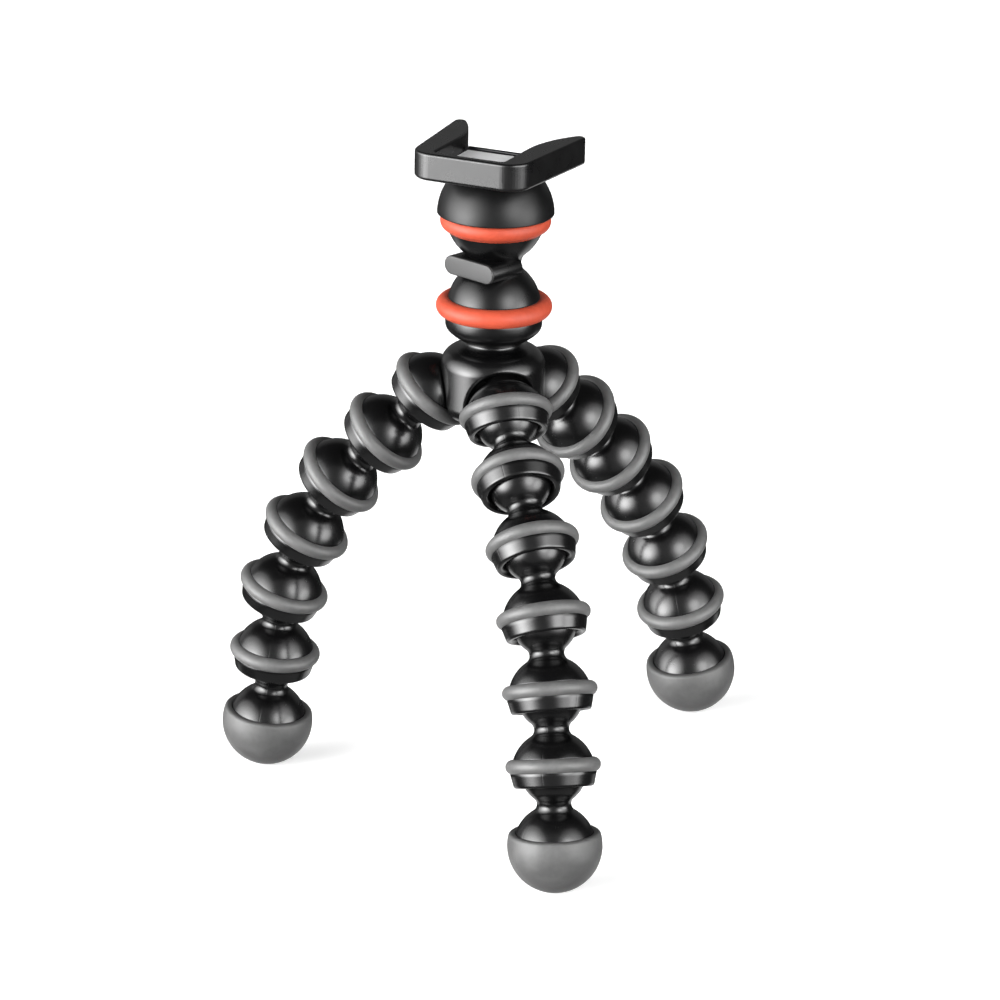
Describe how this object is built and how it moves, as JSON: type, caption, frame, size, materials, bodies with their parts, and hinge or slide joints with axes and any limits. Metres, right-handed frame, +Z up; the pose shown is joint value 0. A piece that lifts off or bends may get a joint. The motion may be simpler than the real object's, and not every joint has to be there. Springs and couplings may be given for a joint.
{
  "type": "flexible leg tripod",
  "caption": "Small tabletop tripod with bendable legs of ball-and-socket links with rubber grip rings, round rubber feet and a ball head that carries a U-shaped quick-release receiver.",
  "frame": {"origin": "on the ground, at the centre of the bounding box seen from above", "axes": "+Z up, feet on z = 0; the leg nearest the viewer and the closed end of the receiver face -Y, and +X is to the viewer's right"},
  "size_m": [0.0923, 0.0956, 0.1182],
  "materials": {
    "black_plastic": "satin",
    "grey_rubber": "matte",
    "red_rubber": "matte",
    "badge_plate": "satin",
    "steel_plate": "satin"
  },
  "bodies": {
    "hub": {"hub": "black_plastic", "hub_socket_left": "black_plastic", "hub_socket_front": "black_plastic", "hub_socket_right": "black_plastic", "hub_ring_left": "grey_rubber", "hub_ring_front": "grey_rubber", "hub_ring_right": "grey_rubber"},
    "left_link_1": {"link_left_1": "black_plastic", "ring_left_1": "grey_rubber"},
    "left_link_2": {"link_left_2": "black_plastic", "ring_left_2": "grey_rubber"},
    "left_link_3": {"link_left_3": "black_plastic", "ring_left_3": "grey_rubber"},
    "left_link_4": {"link_left_4": "black_plastic", "ring_left_4": "grey_rubber"},
    "left_link_5": {"link_left_5": "black_plastic", "ring_left_5": "grey_rubber"},
    "left_foot": {"foot_core_left": "black_plastic", "foot_left": "grey_rubber"},
    "front_link_1": {"link_front_1": "black_plastic", "ring_front_1": "grey_rubber"},
    "front_link_2": {"link_front_2": "black_plastic", "ring_front_2": "grey_rubber"},
    "front_link_3": {"link_front_3": "black_plastic", "ring_front_3": "grey_rubber"},
    "front_link_4": {"link_front_4": "black_plastic", "ring_front_4": "grey_rubber"},
    "front_link_5": {"link_front_5": "black_plastic", "ring_front_5": "grey_rubber"},
    "front_foot": {"foot_core_front": "black_plastic", "foot_front": "grey_rubber"},
    "right_link_1": {"link_right_1": "black_plastic", "ring_right_1": "grey_rubber"},
    "right_link_2": {"link_right_2": "black_plastic", "ring_right_2": "grey_rubber"},
    "right_link_3": {"link_right_3": "black_plastic", "ring_right_3": "grey_rubber"},
    "right_link_4": {"link_right_4": "black_plastic", "ring_right_4": "grey_rubber"},
    "right_link_5": {"link_right_5": "black_plastic", "ring_right_5": "grey_rubber"},
    "right_foot": {"foot_core_right": "black_plastic", "foot_right": "grey_rubber"},
    "head": {"head_link": "black_plastic", "head_ring": "red_rubber", "badge": "badge_plate"},
    "receiver": {"receiver": "black_plastic", "cup_ring": "red_rubber", "floor_plate": "steel_plate"}
  },
  "joints": [
    {"name": "left_bend_1", "type": "hinge", "parent": "hub", "child": "left_link_1", "pos_m": [-0.00642, 0.00996, 0.07208], "axis": [-0.342, -0.9397, 0], "range_deg": [-24, 35]},
    {"name": "left_bend_2", "type": "hinge", "parent": "left_link_1", "child": "left_link_2", "pos_m": [-0.01515, 0.01314, 0.06371], "axis": [0.3746, 0.9272, 0], "range_deg": [-26, 32]},
    {"name": "left_bend_3", "type": "hinge", "parent": "left_link_2", "child": "left_link_3", "pos_m": [-0.02335, 0.01645, 0.05488], "axis": [-0.342, -0.9397, 0], "range_deg": [-42, 17]},
    {"name": "left_bend_4", "type": "hinge", "parent": "left_link_3", "child": "left_link_4", "pos_m": [-0.02968, 0.01875, 0.04435], "axis": [0.342, 0.9397, 0], "range_deg": [-19, 40]},
    {"name": "left_bend_5", "type": "hinge", "parent": "left_link_4", "child": "left_link_5", "pos_m": [-0.03408, 0.02035, 0.03275], "axis": [-0.3584, -0.9336, 0], "range_deg": [-41, 18]},
    {"name": "left_foot_bend", "type": "hinge", "parent": "left_link_5", "child": "left_foot", "pos_m": [-0.0361, 0.02113, 0.02045], "axis": [0.3746, 0.9272, 0], "range_deg": [-29, 30]},
    {"name": "front_bend_1", "type": "hinge", "parent": "hub", "child": "front_link_1", "pos_m": [0.00654, -0.00445, 0.0714], "axis": [0.9848, 0.1736, 0], "range_deg": [-18, 41]},
    {"name": "front_bend_2", "type": "hinge", "parent": "front_link_1", "child": "front_link_2", "pos_m": [0.00823, -0.01402, 0.06353], "axis": [-0.9703, -0.2419, 0], "range_deg": [-20, 38]},
    {"name": "front_bend_3", "type": "hinge", "parent": "front_link_2", "child": "front_link_3", "pos_m": [0.01025, -0.02214, 0.05424], "axis": [0.9781, 0.2079, 0], "range_deg": [-40, 19]},
    {"name": "front_bend_4", "type": "hinge", "parent": "front_link_3", "child": "front_link_4", "pos_m": [0.0116, -0.0285, 0.04357], "axis": [-0.9945, -0.1045, 0], "range_deg": [-22, 37]},
    {"name": "front_bend_5", "type": "hinge", "parent": "front_link_4", "child": "front_link_5", "pos_m": [0.01213, -0.03355, 0.03215], "axis": [0.9998, 0.0175, 0], "range_deg": [-32, 27]},
    {"name": "front_foot_bend", "type": "hinge", "parent": "front_link_5", "child": "front_foot", "pos_m": [0.01221, -0.03803, 0.02048], "axis": [-0.9945, 0.1045, 0], "range_deg": [-17, 42]},
    {"name": "right_bend_1", "type": "hinge", "parent": "hub", "child": "right_link_1", "pos_m": [0.01253, 0.01399, 0.07108], "axis": [-0.7071, 0.7071, 0], "range_deg": [-19, 40]},
    {"name": "right_bend_2", "type": "hinge", "parent": "right_link_1", "child": "right_link_2", "pos_m": [0.0191, 0.02056, 0.06272], "axis": [0.7071, -0.7071, 0], "range_deg": [-25, 34]},
    {"name": "right_bend_3", "type": "hinge", "parent": "right_link_2", "child": "right_link_3", "pos_m": [0.02512, 0.02659, 0.05358], "axis": [-0.682, 0.7314, 0], "range_deg": [-36, 23]},
    {"name": "right_bend_4", "type": "hinge", "parent": "right_link_3", "child": "right_link_4", "pos_m": [0.03057, 0.03167, 0.04354], "axis": [0.7193, -0.6947, 0], "range_deg": [-20, 39]},
    {"name": "right_bend_5", "type": "hinge", "parent": "right_link_4", "child": "right_link_5", "pos_m": [0.03451, 0.03575, 0.0324], "axis": [-0.7193, 0.6947, 0], "range_deg": [-39, 20]},
    {"name": "right_foot_bend", "type": "hinge", "parent": "right_link_5", "child": "right_foot", "pos_m": [0.03705, 0.03838, 0.02045], "axis": [0.7193, -0.6947, 0], "range_deg": [-22, 37]},
    {"name": "head_pan", "type": "hinge", "parent": "hub", "child": "head", "pos_m": [0.005, 0.0065, 0.0865], "axis": [0.0523, 0, 0.9986], "continuous": true},
    {"name": "receiver_tilt", "type": "hinge", "parent": "head", "child": "receiver", "pos_m": [0.00595, 0.0065, 0.10468], "axis": [0.8991, -0.4352, -0.0471], "range_deg": [-25, 25]}
  ]
}
